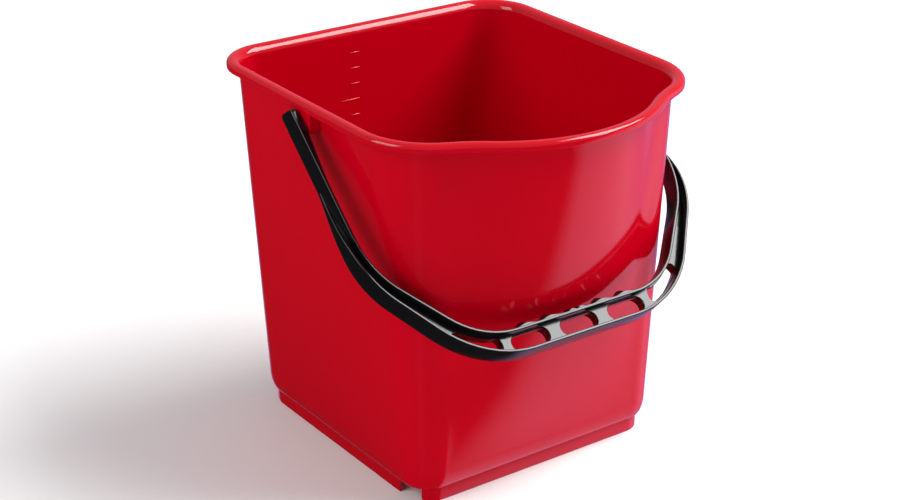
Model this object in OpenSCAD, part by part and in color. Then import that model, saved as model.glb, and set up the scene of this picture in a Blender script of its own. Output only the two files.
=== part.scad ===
// Wash bucket: a tapered, near-square plastic bucket with a rounded pouring front,
// and a one-piece plastic bail handle that swings from the front over the rim to the back.
// The origin is on the floor under the middle of the rim. The pouring front faces -Y.

/* [Bucket] */
// Height from the floor to the top of the rim
height = 310; // [290:1:330]
// Outer width of the walls at the rim
top_w = 278; // [270:1:290]
// Outer depth at the rim, from the back wall to the front shoulders
top_d = 266.4; // [258:0.2:274]
// Outer width of the walls at their foot
foot_w = 243.4; // [236:0.2:250]
// How much further back the back wall is at the rim than at its foot
back_lean = 2.4; // [0:0.1:6]
// How much further forward the front shoulders are at the rim than at their foot
front_lean = 13.8; // [6:0.2:18]
// How far the pouring front stands out from the shoulders at the rim
front_bulge = 38.1; // [30:0.1:45]
// Half of the width over which the pouring front stands out
bulge_half_w = 90.6; // [86:0.2:96]
// Radius of the hollow between a shoulder and the pouring front
hollow_r = 140; // [80:5:160]
// Thickness of the walls
wall = 2.5; // [2:0.1:3.5]

/* [Corners] */
// Back corner radius at the rim
back_top_r = 34.4; // [28:0.2:38]
// Back corner radius at the foot
back_foot_r = 39; // [30:0.2:44]
// Front corner radius at the rim
front_top_r = 55.4; // [48:0.2:60]
// Front corner radius at the foot
front_foot_r = 25.8; // [20:0.2:34]

/* [Rim and foot] */
// How far the rim stands out from the walls
rim_out = 9.6; // [8:0.1:12]
// How far the rim's edge hangs down
rim_drop = 7; // [6:0.1:9]
// Height of the skirt under the floor
skirt_h = 12; // [9:0.5:16]
// How far the skirt stands in from the foot of the walls
skirt_in = 6.4; // [5:0.1:9]
// Height at which the foot's rounding meets the walls
round_top = 30; // [26:0.5:34]
// Length of the gap in the skirt at each front corner, along the side
notch_l = 29.4; // [15:0.2:40]

/* [Ears] */
// Height of the bail's pivot above the floor
pivot_z = 290.5; // [286:0.1:291]
// Distance of the bail's pivot behind the middle of the rim
pivot_y = 21.6; // [12:0.2:30]
// Width of each ear
ear_w = 28.4; // [24:0.2:36]
// Height of each ear below the rim
ear_h = 25; // [24:0.5:34]
// Diameter of the pivot pins
pin_d = 8; // [6:0.1:10]
// Clearance around a pin, on the radius
pin_clear = 0.08; // [0.05:0.01:0.1]

/* [Bail] */
// Angle of the bail ahead of straight down at rest, lying on the pouring front
bail_rest = 48; // [48:0.5:60]
// Thickness of the bail, square to its own plane
bail_t = 17.8; // [14:0.2:18]
// Half of the distance between the outer faces of the arms at the pins
arm_x = 154.2; // [153.6:0.2:156]
// Distance from the pivot to the inner edge of the grip
grip_r = 206.3; // [203:0.1:209]
// Width of the grip
grip_w = 20; // [16:0.5:22]
// Thickness of the bail's two rails
rail = 2.6; // [2:0.1:3.4]
// How far the grip's web lies behind its front face
web_drop = 7; // [4:0.5:9]
// Length of each hand slot
slot_l = 35; // [28:0.5:38]
// Distance between the middles of two slots
slot_pitch = 47; // [46:0.5:50]
// Height of the finger ridges
ridge_h = 5.5; // [3:0.5:6]
// Distance between the finger ridges
ridge_pitch = 23; // [20:0.5:25]

/* [Hidden] */

corner_n = 7;
hollow_n = 4;
bulge_n = 8;
back_y = (top_d + front_bulge) / 2;
shoulder_y = back_y - top_d;
rim_half_w = top_w / 2 + rim_out;
ear_x = rim_half_w - 1.5;
bore_depth = 7.5;
pin_gap = 0.5;
pin_r = pin_d / 2;
bail_gap = 0.8;
hub_gap = 0.6;

function mix(a, b, t) = a * (1 - t) + b * t;
function wall_x(z) = mix(foot_w, top_w, rise(z)) / 2;
function rise(z) = max(0, (z - round_top) / (height - round_top));
function arc(c, r, a0, a1, n) =
    [for (i = [0 : n]) c + r * [cos(mix(a0, a1, i / n)), sin(mix(a0, a1, i / n))]];
function flip(pts) = [for (i = [len(pts) - 1 : -1 : 0]) [-pts[i][0], pts[i][1]]];
function after_first(pts) = [for (i = [1 : len(pts) - 1]) pts[i]];

// Right half of the bucket's plan at a height, grown outward by off: the back corner, the front
// corner, the hollow and the pouring front are arcs that run into each other
function half_plan(z, off) =
    let (
        t = rise(z),
        w = mix(foot_w, top_w, t) / 2,
        yb = back_y - back_lean * (1 - t),
        yf = shoulder_y + front_lean * (1 - t),
        rb = mix(back_foot_r, back_top_r, t),
        rf = mix(front_foot_r, front_top_r, t),
        s = max(front_bulge * t, 0.1),
        ra = (bulge_half_w * bulge_half_w + s * s) / (2 * s),
        corner_c = [w - rf, yf + rf],
        bulge_c = [0, yf - s + ra],
        gap = norm(corner_c - bulge_c),
        r1 = rf + hollow_r,
        r2 = ra + hollow_r,
        along = (r2 * r2 - r1 * r1 + gap * gap) / (2 * gap),
        across = sqrt(max(0, r2 * r2 - along * along)),
        u = (corner_c - bulge_c) / gap,
        hollow_c = bulge_c + along * u + across * [u[1], -u[0]],
        to_corner = hollow_c - corner_c,
        to_bulge = hollow_c - bulge_c,
        turn1 = atan2(to_corner[1], to_corner[0]),
        turn2 = atan2(to_bulge[1], to_bulge[0])
    )
    concat(
        arc([w - rb, yb - rb], rb + off, 90, 0, corner_n),
        arc(corner_c, rf + off, 0, turn1, corner_n),
        after_first(arc(hollow_c, hollow_r - off, turn1 + 180, turn2 + 180, hollow_n)),
        after_first(arc(bulge_c, ra + off, turn2, -90, bulge_n))
    );
function plan(z, off) = concat(half_plan(z, off), after_first(flip(half_plan(z, off))));
function ring(z, off) = [for (p = plan(z, off)) [p[0], p[1], z]];

// The wall's section, as [offset from the wall's outer face, height], from the foot over the rim
// and down the inside to the floor
foot_steps = 3;
wall_steps = 4;
floor_t = 2.6;
floor_round = 12;
floor_z = skirt_h + floor_t;
lip_t = 2.4;
inner_drop = 7;
outer_top = height - 9;
foot_profile = [for (i = [foot_steps : -1 : 1])
    let (a = 90 * i / foot_steps)
    [-skirt_in * (1 - cos(a)), round_top - (round_top - skirt_h) * sin(a)]];
outer_profile = [for (i = [0 : wall_steps]) [0, mix(round_top, outer_top, i / wall_steps)]];
lip_in = rim_out - lip_t;
lip_under = height - lip_t;
// Under the rim, round its hanging edge, over its rounded top and down into the bucket
lip_profile = [
    [1.6, lip_under - 1.4],
    [lip_in - 1.4, lip_under - 0.9],
    [lip_in, lip_under - 2.4],
    [lip_in, height - rim_drop],
    [rim_out, height - rim_drop],
    [rim_out, height - 4],
    [rim_out - 1.6, height - 1.4],
    [rim_out - 4.8, height],
    [0.6, height - 1.2],
    [-wall, height - inner_drop]
];
inner_profile = [for (i = [1 : wall_steps])
    [-wall, mix(height - inner_drop, floor_z + floor_round, i / wall_steps)]];
floor_profile = [for (i = [1 : foot_steps])
    let (a = 90 * i / foot_steps)
    [-wall - floor_round * (1 - cos(a)), floor_z + floor_round * (1 - sin(a))]];
notch_w = 6.5;
past = 20;
skirt_profile = [[-skirt_in - wall, skirt_h], [-skirt_in - wall, 0], [-skirt_in, 0]];
shell_profile = concat(skirt_profile, foot_profile, outer_profile, lip_profile, inner_profile, floor_profile);

module bucket_shell() {
    rings = [for (p = shell_profile) ring(p[1], p[0])];
    n = len(rings[0]);
    m = len(rings);
    sides = [for (j = [0 : m - 2], i = [0 : n - 1], half = [0, 1])
        let (a = j * n + i, b = j * n + (i + 1) % n, c = a + n, d = b + n)
        half == 0 ? [a, b, d] : [a, d, c]];
    under = [for (i = [n - 1 : -1 : 0]) i];
    top = [for (i = [0 : n - 1]) (m - 1) * n + i];
    polyhedron(points = [for (r = rings, p = r) p], faces = concat(sides, [under], [top]));
}

// What is cut away from the skirt at the two front corners
module notches() {
    corner_x = foot_w / 2 - skirt_in - notch_w;
    corner_y = shoulder_y + front_lean + skirt_in;
    for (side = [0, 1])
    mirror([side, 0, 0])
    translate([corner_x, corner_y - past, -1])
    cube([notch_w + past, notch_l + past, skirt_h + 1]);
}

// An ear under the rim on each side, with the blind bore that a pin of the bail turns in
module ear_side() {
    bottom = height - ear_h;
    edge = height - rim_drop;
    top = lip_under - 0.7;
    polygon([
        [ear_x, bottom],
        [ear_x, top],
        [wall_x(height) + 0.9, top],
        [wall_x(edge) - wall / 2, edge + 0.5],
        [wall_x(bottom) - wall / 2, bottom]
    ]);
}

module ear_front() {
    round_r = 6;
    half_w = ear_w / 2;
    translate([-half_w, height - ear_h + round_r])
    square([ear_w, ear_h - round_r]);
    translate([round_r - half_w, height - ear_h])
    square([ear_w - 2 * round_r, ear_h]);
    for (side = [-1, 1])
    translate([side * (half_w - round_r), height - ear_h + round_r])
    circle(r = round_r, $fn = 48);
}

module ear() {
    difference() {
        intersection() {
            translate([0, pivot_y + ear_w, 0])
            rotate([90, 0, 0])
            linear_extrude(2 * ear_w)
            ear_side();
            translate([0, pivot_y, 0])
            rotate([90, 0, 90])
            linear_extrude(rim_half_w)
            ear_front();
        }
        translate([ear_x - bore_depth, pivot_y, pivot_z])
        rotate([0, 90, 0])
        cylinder(r = pin_r + pin_clear, h = bore_depth + 1, $fn = 48);
    }
}

module bucket_body() {
    color("crimson")
    union() {
        difference() {
            bucket_shell();
            notches();
        }
        ear();
        mirror([1, 0, 0])
        ear();
    }
}

// The bail is drawn in its own plane, X across and Y up from the pivot, with its front towards +Z
front_z = bail_t / 2;
arm_t = 2.6;
inner_corner_r = [72, 65];
outer_corner_r = [79.5, 88.7];
edge_n = 8;
inner_turn_r = 131;
outer_turn_r = 139;
outer_stand = 4.6;
inner_v1 = [arm_x - arm_t, inner_turn_r];
inner_v2 = [89, grip_r];
outer_v1 = [arm_x + outer_stand, outer_turn_r];
outer_v2 = [95, grip_r + grip_w];
grip_half_w = 1.5 * slot_pitch;
hub_in = rim_half_w + bail_gap;
hub_up = 13;
hub_round = 5;
taper_start = 20;
taper_end = 100;

// Right half of a bail edge: down the arm, round two corners and along the grip to the middle
function edge_turn(v1, v2) = atan2(v1[0] - v2[0], v2[1] - v1[1]);
function edge_c1(v1, v2, r) = [v1[0] - r[0], v1[1] - r[0] * tan(edge_turn(v1, v2) / 2)];
function edge_c2(v1, v2, r) = [v2[0] - r[1] * tan(45 - edge_turn(v1, v2) / 2), v2[1] - r[1]];
function edge(v1, v2, r, off, start) =
    let (a = edge_turn(v1, v2))
    concat(
        [[v1[0] + off, start]],
        arc(edge_c1(v1, v2, r), r[0] + off, 0, a, edge_n),
        arc(edge_c2(v1, v2, r), r[1] + off, a, 90, edge_n)
    );
function inner_edge(off, start) = edge(inner_v1, inner_v2, inner_corner_r, off, start);
function outer_edge(off, start) = edge(outer_v1, outer_v2, outer_corner_r, off, start);
function whole(pts) = concat(pts, flip(pts));
function hang(pts) = [for (p = pts) [p[0], -p[1]]];
function reverse(pts) = [for (i = [len(pts) - 1 : -1 : 0]) pts[i]];
function band(a, b) = hang(concat(whole(a), reverse(whole(b))));

rail_start = 55;
rail_full = 140;
web_start = 100;
slot_edge = 4;
curve_slot = [46, 75];
web_t = 2.6;
ridge_back = 3;
ridge_n = 6;
ridge_places = [1.1, 2.1];
ridge_half_w = 9;
small_half_w = 4.4;
small_share = 0.7;

module slab(low, high) {
    translate([0, 0, low])
    linear_extrude(high - low)
    children();
}

module slots() {
    mid_r = grip_r + grip_w / 2;
    slot_w = grip_w - 2 * slot_edge;
    end_r = slot_w / 2 - 0.5;
    for (i = [-1 : 1])
    translate([i * slot_pitch, -mid_r])
    union() {
        square([slot_l - 2 * end_r, slot_w], center = true);
        square([slot_l, slot_w - 2 * end_r], center = true);
        for (sx = [-1, 1], sy = [-1, 1])
        translate([sx * (slot_l / 2 - end_r), sy * (slot_w / 2 - end_r)])
        circle(r = end_r, $fn = 32);
    }
    for (side = [-1, 1])
    scale([side, 1])
    polygon(hang(concat(
        arc(edge_c2(inner_v1, inner_v2, inner_corner_r), inner_corner_r[1] + slot_edge,
            curve_slot[0], curve_slot[1], edge_n),
        reverse(arc(edge_c2(outer_v1, outer_v2, outer_corner_r), outer_corner_r[1] - slot_edge,
            curve_slot[0], curve_slot[1] + 1, edge_n))
    )));
}

// A finger ridge: a smooth hump on the grip's inner edge, with its root in the rail
module ridge(x, half_w, tall) {
    root = 0.4;
    translate([x, -grip_r])
    polygon([for (i = [-ridge_n : ridge_n])
        let (u = i / ridge_n)
        [u * half_w, tall * (1 + cos(180 * u)) / 2 - root]]);
}

// Two ridges on each side, and a pair of small ones that touch at the middle
module ridges() {
    for (side = [-1, 1], place = ridge_places)
    ridge(side * place * ridge_pitch, ridge_half_w, ridge_h);
    for (side = [-1, 1])
    ridge(side * small_half_w, small_half_w, small_share * ridge_h);
}

// The outline of the arm's end, seen from the side, as far as the tapered stiffener below it
module hub_face() {
    translate([-front_z, -taper_start])
    square([bail_t, taper_start + hub_up - hub_round]);
    translate([hub_round - front_z, -taper_start])
    square([bail_t - 2 * hub_round, taper_start + hub_up]);
    for (side = [-1, 1])
    translate([side * (front_z - hub_round), hub_up - hub_round])
    circle(r = hub_round, $fn = 48);
}

// The arm's end with its stiffener, the boss that runs against the ear, and the pivot pin
module arm_end() {
    translate([hub_in, 0, 0])
    rotate([0, 90, 0])
    linear_extrude(arm_x - hub_in)
    hub_face();
    translate([ear_x + hub_gap, 0, 0])
    rotate([0, 90, 0])
    cylinder(r = front_z - 2, h = hub_in - ear_x, $fn = 48);
    translate([ear_x - bore_depth + pin_gap, 0, 0])
    rotate([0, 90, 0])
    cylinder(r = pin_r, h = bore_depth + 1.2, $fn = 48);
    slab(-front_z, front_z)
    polygon([
        [hub_in, 0],
        [arm_x, 0],
        [arm_x, -taper_end],
        [arm_x - arm_t, -taper_end],
        [hub_in, -taper_start]
    ]);
}

module bail_flat() {
    slab(-front_z, front_z)
    polygon(band(inner_edge(0, 0), inner_edge(rail, 0)));
    slab(ridge_back - front_z, front_z)
    ridges();
    slab(-front_z, web_t - front_z)
    difference() {
        polygon(band(inner_edge(1, rail_start), outer_edge(-1, rail_start)));
        slots();
    }
    slab(-front_z, front_z - web_drop)
    difference() {
        polygon(band(inner_edge(1, web_start), outer_edge(-1, web_start)));
        slots();
    }
    difference() {
        slab(-front_z, front_z)
        polygon(band(outer_edge(-rail, rail_start), outer_edge(0, rail_start)));
        translate([-2 * arm_x, 0, 0])
        rotate([90, 0, 90])
        linear_extrude(4 * arm_x)
        polygon([
            [1 - rail_start, 2 - front_z],
            [1 - rail_start, bail_t],
            [-rail_full, bail_t],
            [-rail_full, front_z]
        ]);
    }
}

// The stretch of the bail between two places across it
module stretch(low, high) {
    intersection() {
        bail_flat();
        translate([low, -2 * grip_r, -bail_t])
        cube([high - low, 3 * grip_r, 2 * bail_t]);
    }
}

module at_rest() {
    translate([0, pivot_y, pivot_z])
    rotate([90 - bail_rest, 0, 0])
    children();
}

module bail_arm() {
    union() {
        stretch(grip_half_w, 2 * arm_x);
        arm_end();
    }
}

module bail_grip() {
    color("black")
    at_rest()
    stretch(-grip_half_w, grip_half_w);
}

module bail_arm_right() {
    color("black")
    at_rest()
    bail_arm();
}

module bail_arm_left() {
    color("black")
    at_rest()
    mirror([1, 0, 0])
    bail_arm();
}

bucket_body();
bail_grip();
bail_arm_left();
bail_arm_right();
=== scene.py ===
import math

import bmesh
import bpy
from mathutils import Matrix, Vector


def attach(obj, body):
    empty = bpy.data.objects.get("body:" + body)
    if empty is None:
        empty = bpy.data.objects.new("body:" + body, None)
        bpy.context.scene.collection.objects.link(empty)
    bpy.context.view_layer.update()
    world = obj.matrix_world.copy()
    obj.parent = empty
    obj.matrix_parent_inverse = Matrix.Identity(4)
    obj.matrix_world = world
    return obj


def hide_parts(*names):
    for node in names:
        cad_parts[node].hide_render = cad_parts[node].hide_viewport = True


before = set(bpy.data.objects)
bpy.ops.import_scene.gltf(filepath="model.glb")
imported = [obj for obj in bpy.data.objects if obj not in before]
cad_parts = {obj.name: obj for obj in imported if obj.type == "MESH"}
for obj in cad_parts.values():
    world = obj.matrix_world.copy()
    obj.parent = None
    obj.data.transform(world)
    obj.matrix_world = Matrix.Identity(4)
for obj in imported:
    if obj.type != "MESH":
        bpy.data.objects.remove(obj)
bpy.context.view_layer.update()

# ---------------------------------------------------------------- sizes, in millimetres
# Origin on the floor under the middle of the rim, pouring front towards -Y, as in the CAD model.
MM = 0.001
HEIGHT = 310
TOP_W, TOP_D, FOOT_W = 278, 266.4, 243.4
BACK_LEAN, FRONT_LEAN = 2.4, 13.8
FRONT_BULGE, BULGE_HALF_W, HOLLOW_R = 38.1, 90.6, 140
WALL, FLOOR_T, FLOOR_ROUND = 2.5, 2.6, 12
BACK_TOP_R, BACK_FOOT_R = 34.4, 39
FRONT_TOP_R, FRONT_FOOT_R = 55.4, 25.8
RIM_OUT, RIM_DROP, LIP_T = 9.6, 7, 2.4
SKIRT_H, SKIRT_IN, ROUND_TOP = 12, 6.4, 30
NOTCH_W, NOTCH_L = 6.5, 29.4
PIVOT_Y, PIVOT_Z = 21.6, 290.5
EAR_W, EAR_H, PIN_R, PIN_CLEAR, BORE_DEPTH = 28.4, 25, 4, 0.08, 7.5
BAIL_REST, BAIL_T, ARM_X, ARM_T = 48, 17.8, 154.2, 2.6
GRIP_R, GRIP_W, RAIL, WEB_T, WEB_DROP = 206.3, 20, 2.6, 2.6, 7
SLOT_L, SLOT_W, SLOT_PITCH = 35, 12.4, 47
HUB_UP, HUB_DOWN, HUB_ROUND = 13, 9, 4
RIDGE_H, RIDGE_PITCH = 5.5, 23

# Each edge of the bail bends twice, between the arm and the slope and between the slope and the grip.
# The corners, as (x, r), are where its straight stretches would meet.
INNER_CORNERS = ((ARM_X - ARM_T, 131), (89, GRIP_R))
OUTER_CORNERS = ((ARM_X + 4.6, 139), (95, GRIP_R + GRIP_W))
INNER_RADII, OUTER_RADII = (72, 65), (79.5, 88.7)
# The curved slots follow the bends into the grip, about the same centres.
INNER_BEND, OUTER_BEND = (58.51, 141.3), (49.96, 137.6)
SLOT_MARGIN, SLOT_ROUND, SLOT_FLARE = 3.9, 5.8, 2.4
# Distances r from the pivots: where the thick part of the arm's root ends, and where the solid arm ends.
HUB_END, ARM_END = 62, 104
# Where the outer rail starts, where it is clear of the arm, and where it is full height.
OUTER_START, OUTER_CLEAR, OUTER_FULL = 46, 105, 140
GRIP_WEB_START = 168
# Steps on each stretch of an edge; the arm has twice as many.
STEPS = 10

BACK_Y = (TOP_D + FRONT_BULGE) / 2
SHOULDER_Y = BACK_Y - TOP_D
FLOOR_Z = SKIRT_H + FLOOR_T
RIM_HALF_W = TOP_W / 2 + RIM_OUT
EAR_X = RIM_HALF_W - 1.5
FRONT_Z = BAIL_T / 2
WEB_TOP = FRONT_Z - WEB_DROP
PI = math.pi


# ---------------------------------------------------------------- helpers
def mix(a, b, t):
    return a * (1 - t) + b * t


def smooth(a, b, v):
    t = min(max((v - a) / (b - a), 0.0), 1.0)
    return t * t * (3 - 2 * t)


def arc(centre, radius, start, end, steps):
    """Points along an arc, from angle start to angle end in radians."""
    angles = [mix(start, end, i / steps) for i in range(steps + 1)]
    return [(centre[0] + radius * math.cos(a), centre[1] + radius * math.sin(a)) for a in angles]


def circle(radius, steps):
    """Points round a circle about the origin, without the first one again at the end."""
    return arc((0, 0), radius, 0, 2 * PI * steps / (steps + 1), steps)


def line(a, b, steps):
    """Points from a to b without either end."""
    return [tuple(mix(p, q, i / steps) for p, q in zip(a, b)) for i in range(1, steps)]


def mesh_object(name, rings):
    """A closed mesh through equal rings of points, with a cap on its first ring and on its last."""
    bm = bmesh.new()
    loops = [[bm.verts.new(p) for p in ring] for ring in rings]
    n = len(loops[0])
    for low, high in zip(loops, loops[1:]):
        for i in range(n):
            j = (i + 1) % n
            bm.faces.new((low[i], low[j], high[j], high[i]))
    bm.faces.new(list(reversed(loops[0])))
    bm.faces.new(loops[-1])
    bmesh.ops.recalc_face_normals(bm, faces=bm.faces)
    return to_object(name, bm)


def to_object(name, bm):
    mesh = bpy.data.meshes.new(name)
    bm.to_mesh(mesh)
    bm.free()
    obj = bpy.data.objects.new(name, mesh)
    bpy.context.collection.objects.link(obj)
    return obj


def prism(name, outline, low, high, axes):
    """An outline of 2D points pushed from low to high. axes maps (u, v, w) to x, y and z."""
    return mesh_object(name, [[axes(u, v, w) for u, v in outline] for w in (low, high)])


def boolean(obj, operation, tools):
    """Unites obj with the tools, or cuts them out of it, and deletes the tools."""
    for tool in tools:
        mod = obj.modifiers.new("cut", "BOOLEAN")
        mod.operation = operation
        mod.solver = "MANIFOLD"
        mod.object = tool
        with bpy.context.temp_override(object=obj, active_object=obj, selected_objects=[obj]):
            bpy.ops.object.modifier_apply(modifier=mod.name)
        bpy.data.objects.remove(tool)


def drop_slivers(obj):
    """Merges points that all but touch, and takes out the flat leftovers of the cuts."""
    gap = 0.004
    rounds = 4
    hole_sides = 8
    bm = bmesh.new()
    bm.from_mesh(obj.data)
    bmesh.ops.triangulate(bm, faces=bm.faces)
    bmesh.ops.remove_doubles(bm, verts=bm.verts, dist=gap)
    bmesh.ops.dissolve_degenerate(bm, edges=bm.edges, dist=gap)
    for _ in range(rounds):
        flaps = [f for f in bm.faces if sum(len(e.link_faces) != 2 for e in f.edges) >= 2]
        bmesh.ops.delete(bm, geom=flaps, context="FACES")
    open_edges = [e for e in bm.edges if len(e.link_faces) == 1]
    bmesh.ops.holes_fill(bm, edges=open_edges, sides=hole_sides)
    bmesh.ops.triangulate(bm, faces=bm.faces)
    bmesh.ops.recalc_face_normals(bm, faces=bm.faces)
    bm.to_mesh(obj.data)
    bm.free()


def finish_mesh(obj, sharp_deg):
    """Cleans the mesh, scales it from millimetres to metres, and shades it smooth up to an angle."""
    drop_slivers(obj)
    obj.data.transform(Matrix.Scale(MM, 4))
    obj.data.polygons.foreach_set("use_smooth", [True] * len(obj.data.polygons))
    obj.data.set_sharp_from_angle(angle=math.radians(sharp_deg))
    obj.data.update()


# ---------------------------------------------------------------- the bucket
def rise(z):
    return max(0.0, (z - ROUND_TOP) / (HEIGHT - ROUND_TOP))


def wall_x(z):
    return mix(FOOT_W, TOP_W, rise(z)) / 2


def back_wall_y(z):
    return BACK_Y - BACK_LEAN * (1 - rise(z))


def half_plan(z, off):
    """Right half of the plan at a height, grown outward by off, from the back's middle to the front's."""
    flattest = 0.1
    t = rise(z)
    w, yb = wall_x(z), back_wall_y(z)
    yf = SHOULDER_Y + FRONT_LEAN * (1 - t)
    rb = mix(BACK_FOOT_R, BACK_TOP_R, t)
    rf = mix(FRONT_FOOT_R, FRONT_TOP_R, t)
    s = max(FRONT_BULGE * t, flattest)
    ra = (BULGE_HALF_W ** 2 + s * s) / (2 * s)
    corner_c, bulge_c = Vector((w - rf, yf + rf)), Vector((0, yf - s + ra))
    gap = (corner_c - bulge_c).length
    r1, r2 = rf + HOLLOW_R, ra + HOLLOW_R
    along = (r2 * r2 - r1 * r1 + gap * gap) / (2 * gap)
    across = math.sqrt(max(0.0, r2 * r2 - along * along))
    u = (corner_c - bulge_c) / gap
    hollow_c = bulge_c + along * u + across * Vector((u.y, -u.x))
    turn1 = math.atan2(hollow_c.y - corner_c.y, hollow_c.x - corner_c.x)
    turn2 = math.atan2(hollow_c.y - bulge_c.y, hollow_c.x - bulge_c.x)
    back = [(0, yb + off)] + line((0, yb + off), (w - rb, yb + off), 6)
    side = line((w + off, yb - rb), (w + off, yf + rf), 10)
    return (back + arc((w - rb, yb - rb), rb + off, PI / 2, 0, 16) + side
            + arc(corner_c, rf + off, 0, turn1, 18)
            + arc(hollow_c, HOLLOW_R - off, turn1 + PI, turn2 + PI, 8)[1:]
            + arc(bulge_c, ra + off, turn2, -PI / 2, 20)[1:])


def plan(z, off):
    right = half_plan(z, off)
    return right + [(-x, y) for x, y in reversed(right[1:-1])]


def lip_profile():
    """The rolled rim's section, from the outside of the wall over the top to the inside."""
    top_r, edge_r, under_r, flat = 4.2, 0.5, 3, 1
    low, high = HEIGHT - RIM_DROP, HEIGHT - LIP_T
    inner = top_r - LIP_T
    crown = RIM_OUT - top_r - flat
    crown_steps = 12
    return (arc((under_r, high - under_r), under_r, PI, PI / 2, 6)
            + arc((RIM_OUT - top_r, high - inner), inner, PI / 2, 0, 5)
            + arc((RIM_OUT - LIP_T + edge_r, low + edge_r), edge_r, PI, 3 * PI / 2, 3)
            + arc((RIM_OUT - edge_r, low + edge_r), edge_r, -PI / 2, 0, 3)
            + arc((RIM_OUT - top_r, HEIGHT - top_r), top_r, 0, PI / 2, 10)
            + [(crown - (crown + WALL) * math.sin(a), low + RIM_DROP * math.cos(a))
               for a in [PI / 2 * i / crown_steps for i in range(crown_steps + 1)]])


def shell_profile():
    """The wall's section as (offset from its outer face, height).

    It runs from the skirt's inner side, round its foot and over the rim, to the floor inside.
    """
    edge = 0.6
    foot_steps = 10
    under_lip = 3
    inner_foot = -SKIRT_IN - WALL
    skirt = [(inner_foot, SKIRT_H)] + arc((inner_foot + edge, edge), edge, PI, 3 * PI / 2, 3)
    skirt += arc((-SKIRT_IN - edge, edge), edge, -PI / 2, 0, 3)
    round_h = ROUND_TOP - SKIRT_H
    foot = [(-SKIRT_IN * (1 - math.cos(a)), ROUND_TOP - round_h * math.sin(a))
            for a in [PI / 2 * i / foot_steps for i in range(foot_steps, -1, -1)]]
    outer = line((0, ROUND_TOP), (0, HEIGHT - LIP_T - under_lip), 14)
    inner = line((-WALL, HEIGHT - RIM_DROP), (-WALL, FLOOR_Z + FLOOR_ROUND), 14)
    floor = arc((-WALL - FLOOR_ROUND, FLOOR_Z + FLOOR_ROUND), FLOOR_ROUND, 0, -PI / 2, 8)
    return skirt + foot + outer + lip_profile() + inner + floor


def ear(side):
    """A lug under the rim that carries the bail's pin in a blind bore. side is 1 or -1."""
    under_rim, overlap = 0.7, 0.9
    past_ear, past_bore = 5, 2
    bore_steps = 47
    bottom, top = HEIGHT - EAR_H, HEIGHT - LIP_T - under_rim
    mid = HEIGHT - RIM_DROP
    edge, half_w, corner = 1.2, EAR_W / 2, 6
    section = [(EAR_X, bottom + edge), (EAR_X, top), (wall_x(HEIGHT) + overlap, top),
               (wall_x(mid) - WALL / 2, mid + 0.5), (wall_x(bottom) - WALL / 2, bottom),
               (EAR_X - edge, bottom)]
    body = prism("ear", section, -EAR_W, EAR_W, lambda u, v, w: (side * u, PIVOT_Y + w, v))
    front = (arc((half_w - corner, bottom + corner), corner, 0, -PI / 2, 10)
             + arc((corner - half_w, bottom + corner), corner, -PI / 2, -PI, 10)
             + [(-half_w, HEIGHT), (half_w, HEIGHT)])
    outline = prism("ear_outline", front, 100, EAR_X + past_ear,
                    lambda u, v, w: (side * w, PIVOT_Y + u, v))
    boolean(body, "INTERSECT", [outline])
    bore = prism("bore", circle(PIN_R + PIN_CLEAR, bore_steps), EAR_X - BORE_DEPTH, EAR_X + past_bore,
                 lambda u, v, w: (side * w, PIVOT_Y + u, PIVOT_Z + v))
    boolean(body, "DIFFERENCE", [bore])
    return body


def notch(side):
    """What is cut from the skirt at a front corner."""
    beyond, ahead, below, round_r = 40, 20, 1, 2
    low_x = FOOT_W / 2 - SKIRT_IN - NOTCH_W
    low_y = SHOULDER_Y + FRONT_LEAN + SKIRT_IN - ahead
    high_y = low_y + ahead + NOTCH_L
    outline = (arc((low_x - round_r, round_r), round_r, -PI / 2, 0, 5)
               + [(low_x, SKIRT_H), (low_x + beyond, SKIRT_H), (low_x + beyond, -below),
                  (low_x - round_r, -below)])
    return prism("notch", outline, low_y, high_y, lambda u, v, w: (side * u, w, v))


def build_bucket():
    rings = [[(x, y, z) for x, y in plan(z, off)] for off, z in shell_profile()]
    body = mesh_object("bucket_shell", rings)
    boolean(body, "DIFFERENCE", [notch(-1), notch(1)])
    boolean(body, "UNION", [ear(-1), ear(1)])
    finish_mesh(body, 32)
    return body


# ---------------------------------------------------------------- the litre scale
def level(litres):
    """Height at which the bucket holds a number of litres, from its floor area and its taper."""
    foot_area, growth, foot_volume = 58000, 60, 0.8e6
    foot_top = FLOOR_Z + FLOOR_ROUND + 0.2
    wanted = litres * 1e6 - foot_volume
    height = (-foot_area + math.sqrt(foot_area ** 2 + 2 * growth * wanted)) / growth
    return foot_top + height


def bar(name, x0, x1, z, half_h, proud):
    """A raised mark with a rounded section on the inside of the back wall."""
    sunk, end_size, end_part, steps = 0.4, 0.35, 0.03, 8

    def section(x, grow):
        y = back_wall_y(z) - WALL + sunk
        return [(x, y - (proud + sunk) * max(0.0, math.sin(a)) * grow, z + half_h * math.cos(a) * grow)
                for a in [PI * i / steps for i in range(steps + 1)]]

    ends = [(x0, end_size), (mix(x0, x1, end_part), 1), (mix(x0, x1, 1 - end_part), 1), (x1, end_size)]
    return mesh_object(name, [section(x, grow) for x, grow in ends])


def build_scale():
    """Short marks each litre and long ones each five litres, up to 18 litres."""
    start, short, long = -8.6, -17.9, -27.4
    half_h, proud, litres = 0.55, 0.45, 18
    marks = [bar("mark", start, long if n % 5 == 0 else short, level(n), half_h, proud)
             for n in range(1, litres + 1)]
    scale = marks[0]
    boolean(scale, "UNION", marks[1:])
    scale.name = "litre_scale"
    finish_mesh(scale, 60)
    return scale


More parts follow.
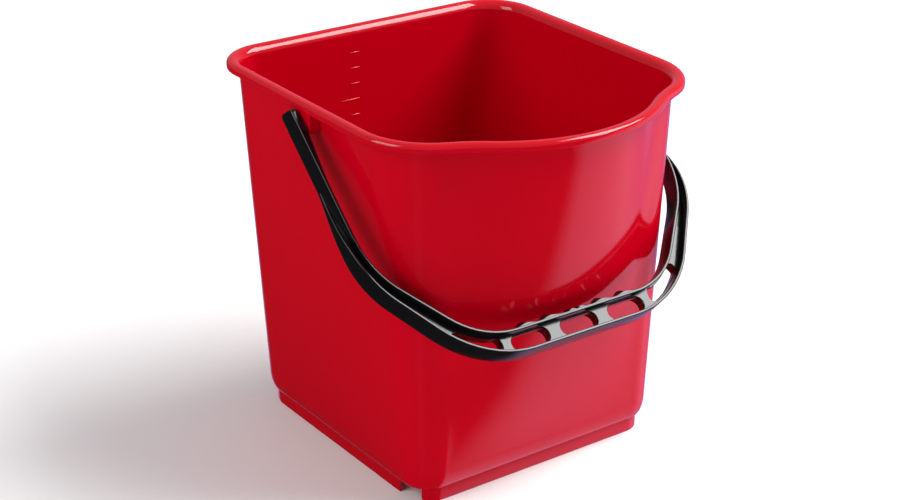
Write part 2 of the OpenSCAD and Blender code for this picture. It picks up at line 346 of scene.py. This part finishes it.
# ---------------------------------------------------------------- the bail
# Drawn in its own plane: x across, r from the pivots to the grip, n square to it towards its front.
def edge_path(corners, radii):
    """Right half of an edge of the bail: arm, bend, slope, bend, grip.

    Every path has the same number of points on each stretch, so that the points of two paths pair up.
    """
    v1, v2 = corners
    turn = math.atan2(v1[0] - v2[0], v2[1] - v1[1])
    c1 = (v1[0] - radii[0], v1[1] - radii[0] * math.tan(turn / 2))
    c2 = (v2[0] - radii[1] * math.tan(PI / 4 - turn / 2), v2[1] - radii[1])
    first = arc(c1, radii[0], 0, turn, STEPS)
    second = arc(c2, radii[1], turn, PI / 2, STEPS)
    arm = [(v1[0], 0)] + line((v1[0], 0), first[0], STEPS * 2)
    slope = line(first[-1], second[0], STEPS)
    grip = line(second[-1], (0, v2[1]), STEPS) + [(0, v2[1])]
    return arm + first + slope + second + grip


def place(x, r, n):
    """A point of the bail's own plane, put where the bail lies at rest."""
    a = math.radians(BAIL_REST)
    return (x, PIVOT_Y - r * math.sin(a) - n * math.cos(a), PIVOT_Z - r * math.cos(a) + n * math.sin(a))


def mirrored(stations):
    """Stations of the right half, from the arm to the middle, and then their mirror images."""
    flipped = []
    for s in reversed(stations[:-1]):
        (px, pr), (qx, qr) = s["p"], s["q"]
        flipped.append({**s, "p": (-px, pr), "q": (-qx, qr)})
    return stations + flipped


def sweep(name, stations, edge=0.8):
    """A bar along the bail. At each station it spans from p to q across and from low to high in n."""
    widest_edge = 0.45
    rings = []
    for s in stations:
        (px, pr), (qx, qr) = s["p"], s["q"]
        width = math.hypot(qx - px, qr - pr)
        r = min(edge, width * widest_edge, (s["high"] - s["low"]) * widest_edge)
        corners = [(width - r, s["high"] - r, 0), (r, s["high"] - r, PI / 2),
                   (r, s["low"] + r, PI), (width - r, s["low"] + r, 3 * PI / 2)]
        ring = []
        for u, n, a in corners:
            for cu, cn in arc((u, n), r, a, a + PI / 2, 4):
                t = cu / width
                ring.append(place(mix(px, qx, t), mix(pr, qr, t), cn))
        rings.append(ring)
    return mesh_object(name, rings)


inner_path = edge_path(INNER_CORNERS, INNER_RADII)
outer_path = edge_path(OUTER_CORNERS, OUTER_RADII)


def toward(p, q, distance):
    """The point at a distance from p on the way to q."""
    gap = math.hypot(q[0] - p[0], q[1] - p[1])
    return (mix(p[0], q[0], distance / gap), mix(p[1], q[1], distance / gap))


def inner_rail():
    """The rail next to the bucket, which thickens along the arm towards its hub."""
    hub_t = 6.4
    stations = []
    for p, q in zip(inner_path, outer_path):
        near = (ARM_X - mix(hub_t, ARM_T, smooth(0, HUB_END, p[1])), p[1]) if p[1] < HUB_END else p
        far = (ARM_X, p[1]) if p[1] < ARM_END else toward(p, q, RAIL)
        stations.append({"p": near, "q": far, "low": -FRONT_Z, "high": FRONT_Z})
    return sweep("bail_inner_rail", mirrored(stations))


def outer_rail():
    """The rail away from the bucket, which grows out of the arm's face and rises to full depth."""
    sunk, start_t, low_stretch = 0.2, 4, 10
    stations = []
    for p, q in zip(inner_path, outer_path):
        if q[1] < OUTER_START:
            continue
        out = smooth(OUTER_START, OUTER_CLEAR, q[1])
        far = (mix(ARM_X - sunk, q[0], out), q[1]) if q[1] < OUTER_CLEAR else q
        near = (far[0] - RAIL, far[1]) if q[1] < OUTER_CLEAR else toward(q, p, RAIL)
        high = mix(start_t - FRONT_Z, FRONT_Z, smooth(OUTER_START + low_stretch, OUTER_FULL, q[1]))
        stations.append({"p": near, "q": far, "low": -FRONT_Z, "high": high})
    return sweep("bail_outer_rail", mirrored(stations))


def web(name, high, start, shift):
    """The plate between the rails, from shift over the back up to high, which is worked out from r."""
    into_rail, into_arm, arm_gap, thinnest, edge = 1.2, 0.4, 1.0, 0.3, 0.3
    stations = []
    for p, q in zip(inner_path, outer_path):
        if q[1] < start:
            continue
        out = smooth(OUTER_START, OUTER_CLEAR, q[1])
        near = (ARM_X - into_rail, p[1]) if p[1] < ARM_END else toward(p, q, into_rail)
        on_arm = (mix(ARM_X - into_arm, q[0], out) - arm_gap, q[1])
        far = on_arm if q[1] < OUTER_CLEAR else toward(q, p, into_rail)
        if far[0] - near[0] < thinnest and q[1] < OUTER_CLEAR:
            continue
        stations.append({"p": near, "q": far, "low": shift - FRONT_Z, "high": high(q[1])})
    return sweep(name, mirrored(stations), edge)


def rounded_box(length, width, radius, steps):
    """Points round a rectangle about the origin, with round corners."""
    half_l, half_w = length / 2 - radius, width / 2 - radius
    points = []
    for sx, sy, a in ((1, 1, 0), (-1, 1, PI / 2), (-1, -1, PI), (1, -1, 3 * PI / 2)):
        points += arc((sx * half_l, sy * half_w), radius, a, a + PI / 2, steps)
    return points


def slot_levels(front_flare):
    """Heights in n, and how far a slot's cutter is grown there.

    A slot widens towards the back, and has a small chamfer where it meets the web's front.
    """
    past_back, past_front, chamfer_h = 3, 2, 1.0
    bend_h, bend_w = 0.3, 0.35
    return ((-FRONT_Z - past_back, SLOT_FLARE), (WEB_TOP - chamfer_h, 0),
            (WEB_TOP - bend_h, bend_w), (WEB_TOP + past_front, front_flare))


def straight_slot(x0):
    """The cutter of a hand slot through the grip."""
    middle_r = GRIP_R + GRIP_W / 2
    rings = []
    for n, grow in slot_levels(3.2):
        outline = rounded_box(SLOT_L + 2 * grow, SLOT_W + 2 * grow, SLOT_ROUND + grow, 8)
        rings.append([place(x0 + u, middle_r + v, n) for u, v in outline])
    return mesh_object("slot", rings)


def slots():
    cutters = [straight_slot(i * SLOT_PITCH) for i in (-1, 0, 1)]
    return cutters + [curved_slot(side) for side in (-1, 1)]


def round_end(start, end, reach):
    """Points of a squarish end that bulges to the left of the way from start to end."""
    steps, squareness = 16, 0.7
    start, end = Vector(start), Vector(end)
    middle, half = (start + end) / 2, (end - start) / 2
    out = Vector((-half.y, half.x)).normalized() * reach
    points = []
    for i in range(1, steps):
        a = PI * i / steps
        c, s = math.cos(a), math.sin(a)
        along = math.copysign(abs(c) ** squareness, c)
        points.append(tuple(middle - half * along + out * s ** squareness))
    return points


def curved_slot(side):
    """The cutter of the slot where the grip bends up into the slope."""
    reach, steps = 5, 16
    inner_r, outer_r = INNER_RADII[1] + SLOT_MARGIN, OUTER_RADII[1] - SLOT_MARGIN
    inner_from, inner_to, outer_from, outer_to = (math.radians(a) for a in (49, 73, 71.5, 49.5))
    rings = []
    for n, grow in slot_levels(2.6):
        low = arc(INNER_BEND, inner_r - grow, inner_from, inner_to, steps)
        high = arc(OUTER_BEND, outer_r + grow, outer_from, outer_to, steps)
        grip_end = round_end(low[-1], high[0], reach + grow)
        slope_end = round_end(high[-1], low[0], reach + grow)
        rings.append([place(side * x, r, n) for x, r in low + grip_end + high + slope_end])
    return mesh_object("slot", rings)


def ridge(x0, half_w, height):
    """A finger ridge: a rounded hump on the grip's inner edge that falls away towards the front."""
    across, deep = 20, 10
    back, front, round_l = 3 - FRONT_Z, FRONT_Z - 0.2, 3
    front_loss, back_part, sunk, base_r = 0.74, 0.72, 0.3, GRIP_R + 1.3
    rings = []
    for j in range(deep + 1):
        n = mix(back, front, j / deep)
        fall = 1 - front_loss * smooth(0.0, FRONT_Z, n)
        start_round = mix(back_part, 1, smooth(back, back + round_l, n))
        peak = (height + sunk) * fall * start_round
        crest = [(x0 + half_w * u, GRIP_R + sunk - peak * (1 + math.cos(PI * u)) / 2)
                 for u in [2 * i / across - 1 for i in range(across + 1)]]
        base = [(x0 + half_w, base_r), (x0 - half_w, base_r)]
        rings.append([place(x, r, n) for x, r in crest + base])
    return mesh_object("ridge", rings)


def hub(side):
    """The squared end of an arm, with its boss and the pin that turns in the ear."""
    tip_gap, tip_chamfer, ear_gap, boss_r = 0.5, 0.6, 0.6, FRONT_Z - 2
    edge, edge_steps, chamfer, slope = 1.4, 6, 0.5, 0.25
    length, middle = HUB_UP + HUB_DOWN, (HUB_UP - HUB_DOWN) / 2
    tip, hub_in = EAR_X - BORE_DEPTH + tip_gap, RIM_HALF_W + 0.8
    rings = []
    for x, radius in ((tip, PIN_R - tip_chamfer), (tip + tip_chamfer, PIN_R), (EAR_X + ear_gap, PIN_R),
                      (EAR_X + ear_gap, boss_r), (hub_in, boss_r)):
        rings.append([place(side * x, u, v) for u, v in circle(radius, 63)])
    ends = [(hub_in, chamfer), (hub_in + chamfer, 0)]
    ends += [(ARM_X - edge * (1 - math.sin(a)), edge * (1 - math.cos(a)))
             for a in [PI / 2 * i / edge_steps for i in range(edge_steps + 1)]]
    for x, inset in ends:
        box = rounded_box(length - 2 * inset, BAIL_T - 2 * inset, HUB_ROUND - inset, 15)
        slanted = [(u + slope * v * min(max(-2 * u / length, 0), 1), v) for u, v in box]
        rings.append([place(side * x, u - middle, v) for u, v in slanted])
    return mesh_object("hub", rings)


def build_bail():
    ramp_start, ramp_end, arm_web_drop = 56, 112, 0.6
    grip_shift, arm_shift = 0.05, 0.1

    def arm_web_top(r):
        return mix(WEB_T - FRONT_Z, WEB_TOP - arm_web_drop, smooth(ramp_start, ramp_end, r))

    grip_web = web("grip_web", lambda r: WEB_TOP, GRIP_WEB_START, grip_shift)
    boolean(grip_web, "DIFFERENCE", slots())
    arm_web = web("arm_web", arm_web_top, OUTER_START, arm_shift)
    boolean(arm_web, "DIFFERENCE", slots())
    bail = inner_rail()
    bail.name = "bail"
    boolean(bail, "UNION", [outer_rail(), arm_web, grip_web, hub(-1), hub(1)])
    # Two wide ridges on each half of the grip, and a pair of narrow lower ones in its middle.
    places = [(s * k * RIDGE_PITCH, 9.5, RIDGE_H) for s in (-1, 1) for k in (1.1, 2.1)]
    places += [(s * 4.4, 4.6, RIDGE_H * 0.72) for s in (-1, 1)]
    boolean(bail, "UNION", [ridge(*p) for p in places])
    finish_mesh(bail, 34)
    return bail


# ---------------------------------------------------------------- materials
def plastic(name, colour, dark, roughness, spread, grain, bump):
    """Moulded plastic: two close shades, a little unevenness in the gloss, and a fine moulded skin."""
    wave_share = 6
    mat = bpy.data.materials.new(name)
    mat.use_nodes = True
    tree = mat.node_tree
    nodes, links = tree.nodes, tree.links
    shader = nodes["Principled BSDF"]
    shader.inputs["IOR"].default_value = 1.49
    where = nodes.new("ShaderNodeTexCoord")

    def noise(scale, detail):
        node = nodes.new("ShaderNodeTexNoise")
        node.inputs["Scale"].default_value = scale
        node.inputs["Detail"].default_value = detail
        links.new(where.outputs["Object"], node.inputs["Vector"])
        return node

    clouds = noise(9, 3)
    shade = nodes.new("ShaderNodeMix")
    shade.data_type = "RGBA"
    shade.inputs["A"].default_value = (*colour, 1)
    shade.inputs["B"].default_value = (*dark, 1)
    links.new(clouds.outputs["Fac"], shade.inputs["Factor"])
    links.new(shade.outputs["Result"], shader.inputs["Base Color"])
    smears = noise(26, 4)
    gloss = nodes.new("ShaderNodeMapRange")
    gloss.inputs["To Min"].default_value = roughness - spread
    gloss.inputs["To Max"].default_value = roughness + spread
    links.new(smears.outputs["Fac"], gloss.inputs["Value"])
    links.new(gloss.outputs["Result"], shader.inputs["Roughness"])
    skin = noise(grain, 2)
    wave = noise(14, 1)
    height = nodes.new("ShaderNodeMath")
    height.operation = "MULTIPLY_ADD"
    height.inputs[1].default_value = wave_share
    links.new(wave.outputs["Fac"], height.inputs[0])
    links.new(skin.outputs["Fac"], height.inputs[2])
    bumps = nodes.new("ShaderNodeBump")
    bumps.inputs["Strength"].default_value = 1
    bumps.inputs["Distance"].default_value = bump
    links.new(height.outputs["Value"], bumps.inputs["Height"])
    links.new(bumps.outputs["Normal"], shader.inputs["Normal"])
    return mat


def give(obj, material):
    obj.data.materials.clear()
    obj.data.materials.append(material)


# ---------------------------------------------------------------- floor, light and camera
def build_floor():
    half_size, squares = 9.0, 24
    bm = bmesh.new()
    bmesh.ops.create_grid(bm, x_segments=squares, y_segments=squares, size=half_size)
    floor = to_object("studio_floor", bm)
    mat = bpy.data.materials.new("pale_floor")
    mat.use_nodes = True
    nodes, links = mat.node_tree.nodes, mat.node_tree.links
    shader = nodes["Principled BSDF"]
    # Seen from below, the floor is clear, so that the underside shows.
    side = nodes.new("ShaderNodeNewGeometry")
    clear = nodes.new("ShaderNodeBsdfTransparent")
    blend = nodes.new("ShaderNodeMixShader")
    links.new(side.outputs["Backfacing"], blend.inputs["Fac"])
    links.new(shader.outputs["BSDF"], blend.inputs[1])
    links.new(clear.outputs["BSDF"], blend.inputs[2])
    links.new(blend.outputs["Shader"], nodes["Material Output"].inputs["Surface"])
    shader.inputs["Base Color"].default_value = (0.93, 0.93, 0.93, 1)
    shader.inputs["Roughness"].default_value = 0.8
    floor.data.materials.append(mat)
    floor.visible_glossy = False


def area_light(name, place_at, aim, size, energy):
    data = bpy.data.lights.new(name, "AREA")
    data.shape = "RECTANGLE"
    data.size, data.size_y = size
    data.energy = energy
    lamp = bpy.data.objects.new(name, data)
    bpy.context.collection.objects.link(lamp)
    lamp.location = place_at
    lamp.rotation_mode = "QUATERNION"
    lamp.rotation_quaternion = (Vector(aim) - Vector(place_at)).to_track_quat("-Z", "Y")


def build_lights():
    world = bpy.data.worlds.new("studio")
    bpy.context.scene.world = world
    world.use_nodes = True
    nodes, links = world.node_tree.nodes, world.node_tree.links
    where = nodes.new("ShaderNodeTexCoord")
    colour = None
    dark_studio = (0.03, 0.03, 0.03, 1)
    # Each patch of the studio: its direction, the values of the dot product with it at which the patch
    # starts and is full, and its colour.
    patches = (((0, 0, 1), -0.04, 0.06, (0.32, 0.32, 0.33)),
               ((0.86, -0.14, -0.5), 0.74, 0.88, (1.0, 0.66, 0.95)),
               ((0.68, 0.60, -0.42), 0.70, 0.92, (0.50, 0.28, 0.58)),
               ((-0.68, -0.48, -0.50), 0.955, 0.995, (0.30, 0.14, 0.22)))
    for direction, far, near, tint in patches:
        dot = nodes.new("ShaderNodeVectorMath")
        dot.operation = "DOT_PRODUCT"
        links.new(where.outputs["Generated"], dot.inputs[0])
        dot.inputs[1].default_value = direction
        fade = nodes.new("ShaderNodeMapRange")
        fade.interpolation_type = "SMOOTHSTEP"
        fade.inputs["From Min"].default_value = far
        fade.inputs["From Max"].default_value = near
        links.new(dot.outputs["Value"], fade.inputs["Value"])
        blend = nodes.new("ShaderNodeMix")
        blend.data_type = "RGBA"
        blend.inputs["A"].default_value = dark_studio
        blend.inputs["B"].default_value = (*tint, 1)
        links.new(fade.outputs["Result"], blend.inputs["Factor"])
        if colour:
            links.new(colour, blend.inputs["A"])
        colour = blend.outputs["Result"]
    links.new(colour, nodes["Background"].inputs["Color"])
    area_light("key_light", place_at=(2.16, -1.11, 2.85), aim=(0, -0.14, 0.15), size=(2.7, 2.1), energy=195)
    area_light("left_light", place_at=(-2.4, 0.3, 1.6), aim=(0, 0, 0.1), size=(1.6, 1.6), energy=34)


def build_camera():
    """Looks along the direction that was fitted to the outlines, with a small roll."""
    azimuth, elevation, roll = (math.radians(a) for a in (-36.261, 23.689, 0.5836))
    stands_at = (-0.8771, -1.1751, 0.8140)
    right = Vector((math.cos(azimuth), math.sin(azimuth), 0))
    back = Vector((math.sin(azimuth) * math.cos(elevation), -math.cos(azimuth) * math.cos(elevation),
                   math.sin(elevation)))
    up = back.cross(right)
    image_right = right * math.cos(roll) + up * math.sin(roll)
    image_up = up * math.cos(roll) - right * math.sin(roll)
    data = bpy.data.cameras.new("camera")
    data.sensor_width = 36
    data.lens = 77.58
    data.shift_y = -0.01713
    data.clip_end = 50
    camera = bpy.data.objects.new("camera", data)
    bpy.context.collection.objects.link(camera)
    turn = Matrix((image_right, image_up, back)).transposed().to_4x4()
    camera.matrix_world = Matrix.Translation(stands_at) @ turn
    bpy.context.scene.camera = camera


build_camera()
build_lights()
build_floor()

red = plastic("red_plastic", (0.57, 0.0, 0.011), (0.52, 0.0, 0.008),
              roughness=0.075, spread=0.02, grain=900, bump=0.000012)
# The litre marks are the bucket's own red plastic; their lighter, pinkish red is painted highlight for the
# light that catches their raised faces.
mark_red_painted_highlight = plastic("mark_plastic_painted_highlight", (0.78, 0.035, 0.045), (0.72, 0.03, 0.04),
                   roughness=0.2, spread=0.03, grain=900, bump=0.00002)
black = plastic("black_plastic", (0.005, 0.005, 0.006), (0.003, 0.003, 0.004),
                roughness=0.16, spread=0.04, grain=1400, bump=0.00002)

bucket = build_bucket()
give(bucket, red)
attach(bucket, "bucket")
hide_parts("bucket_body")

scale = build_scale()
give(scale, mark_red_painted_highlight)
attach(scale, "bucket")

bail = build_bail()
give(bail, black)
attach(bail, "bail")
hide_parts("bail_grip", "bail_arm_left", "bail_arm_right")

bpy.context.scene.view_settings.view_transform = "Standard"
